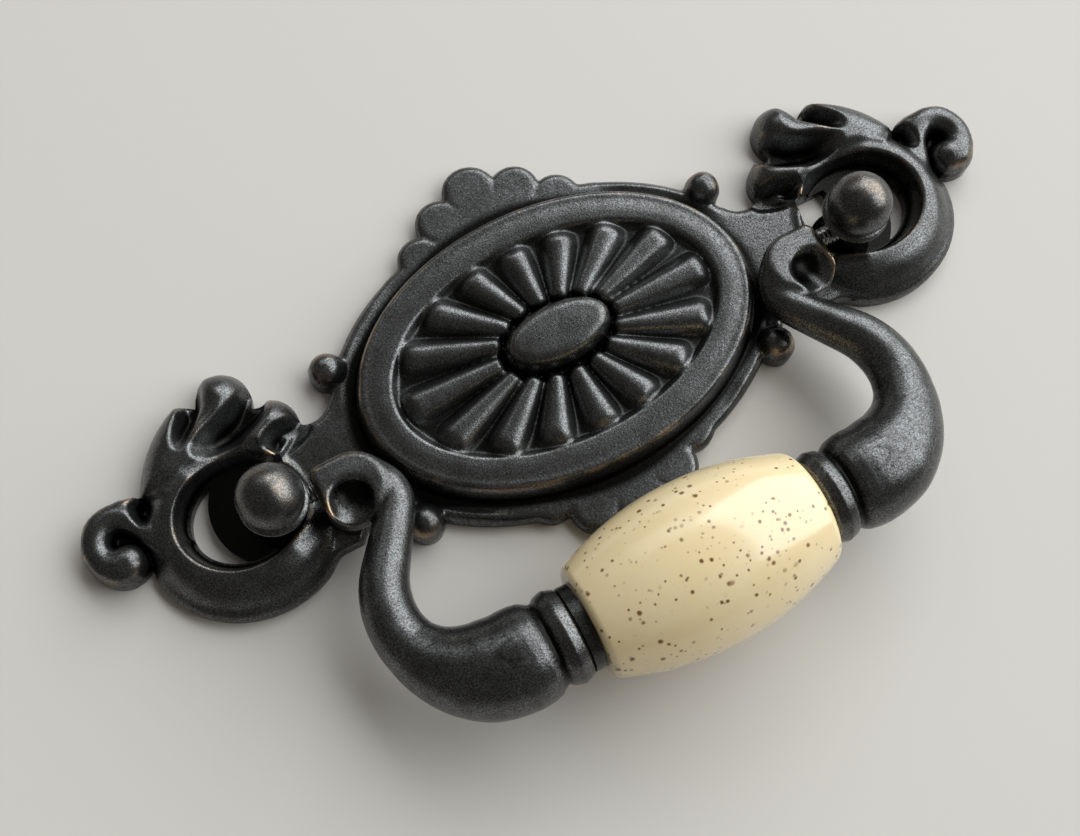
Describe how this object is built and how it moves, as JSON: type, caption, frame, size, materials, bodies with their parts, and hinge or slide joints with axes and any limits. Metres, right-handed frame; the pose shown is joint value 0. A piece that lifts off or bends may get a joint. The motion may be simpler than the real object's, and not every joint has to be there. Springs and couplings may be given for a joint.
{
  "type": "drop bail pull",
  "caption": "Ornate cast drawer pull: a scrolled backplate with a petalled oval medallion, ball-headed posts and a hinged bail that carries a barrel-shaped ceramic bead.",
  "frame": {"origin": "on the plate's back, midway between the axes of the two screw holes", "axes": "+X along the plate towards its right-hand scroll, +Y up the drawer front towards the top crest, +Z out of the drawer front"},
  "size_m": [0.1206, 0.0679, 0.0192],
  "materials": {
    "cast_metal": "dark antique plated zinc casting, rubbed to warm metal on the high edges",
    "steel": "plain steel wire, darkened",
    "ceramic": "glossy cream glaze with small brown specks"
  },
  "bodies": {
    "plate": {"backplate": "cast_metal", "left_post": "cast_metal", "right_post": "cast_metal"},
    "bail": {"left_arm": "cast_metal", "right_arm": "cast_metal", "bead_rod": "steel", "left_pivot_pin": "steel", "right_pivot_pin": "steel"},
    "bead": {"ceramic_bead": "ceramic"}
  },
  "joints": [
    {"name": "bail_swing", "type": "hinge", "parent": "plate", "child": "bail", "pos_m": [0, 0, 0.006], "axis": [-1, 0, 0], "range_deg": [0, 140]},
    {"name": "bead_spin", "type": "hinge", "parent": "bail", "child": "bead", "pos_m": [0, -0.02807, 0.0096], "axis": [1, 0, 0], "continuous": true}
  ]
}
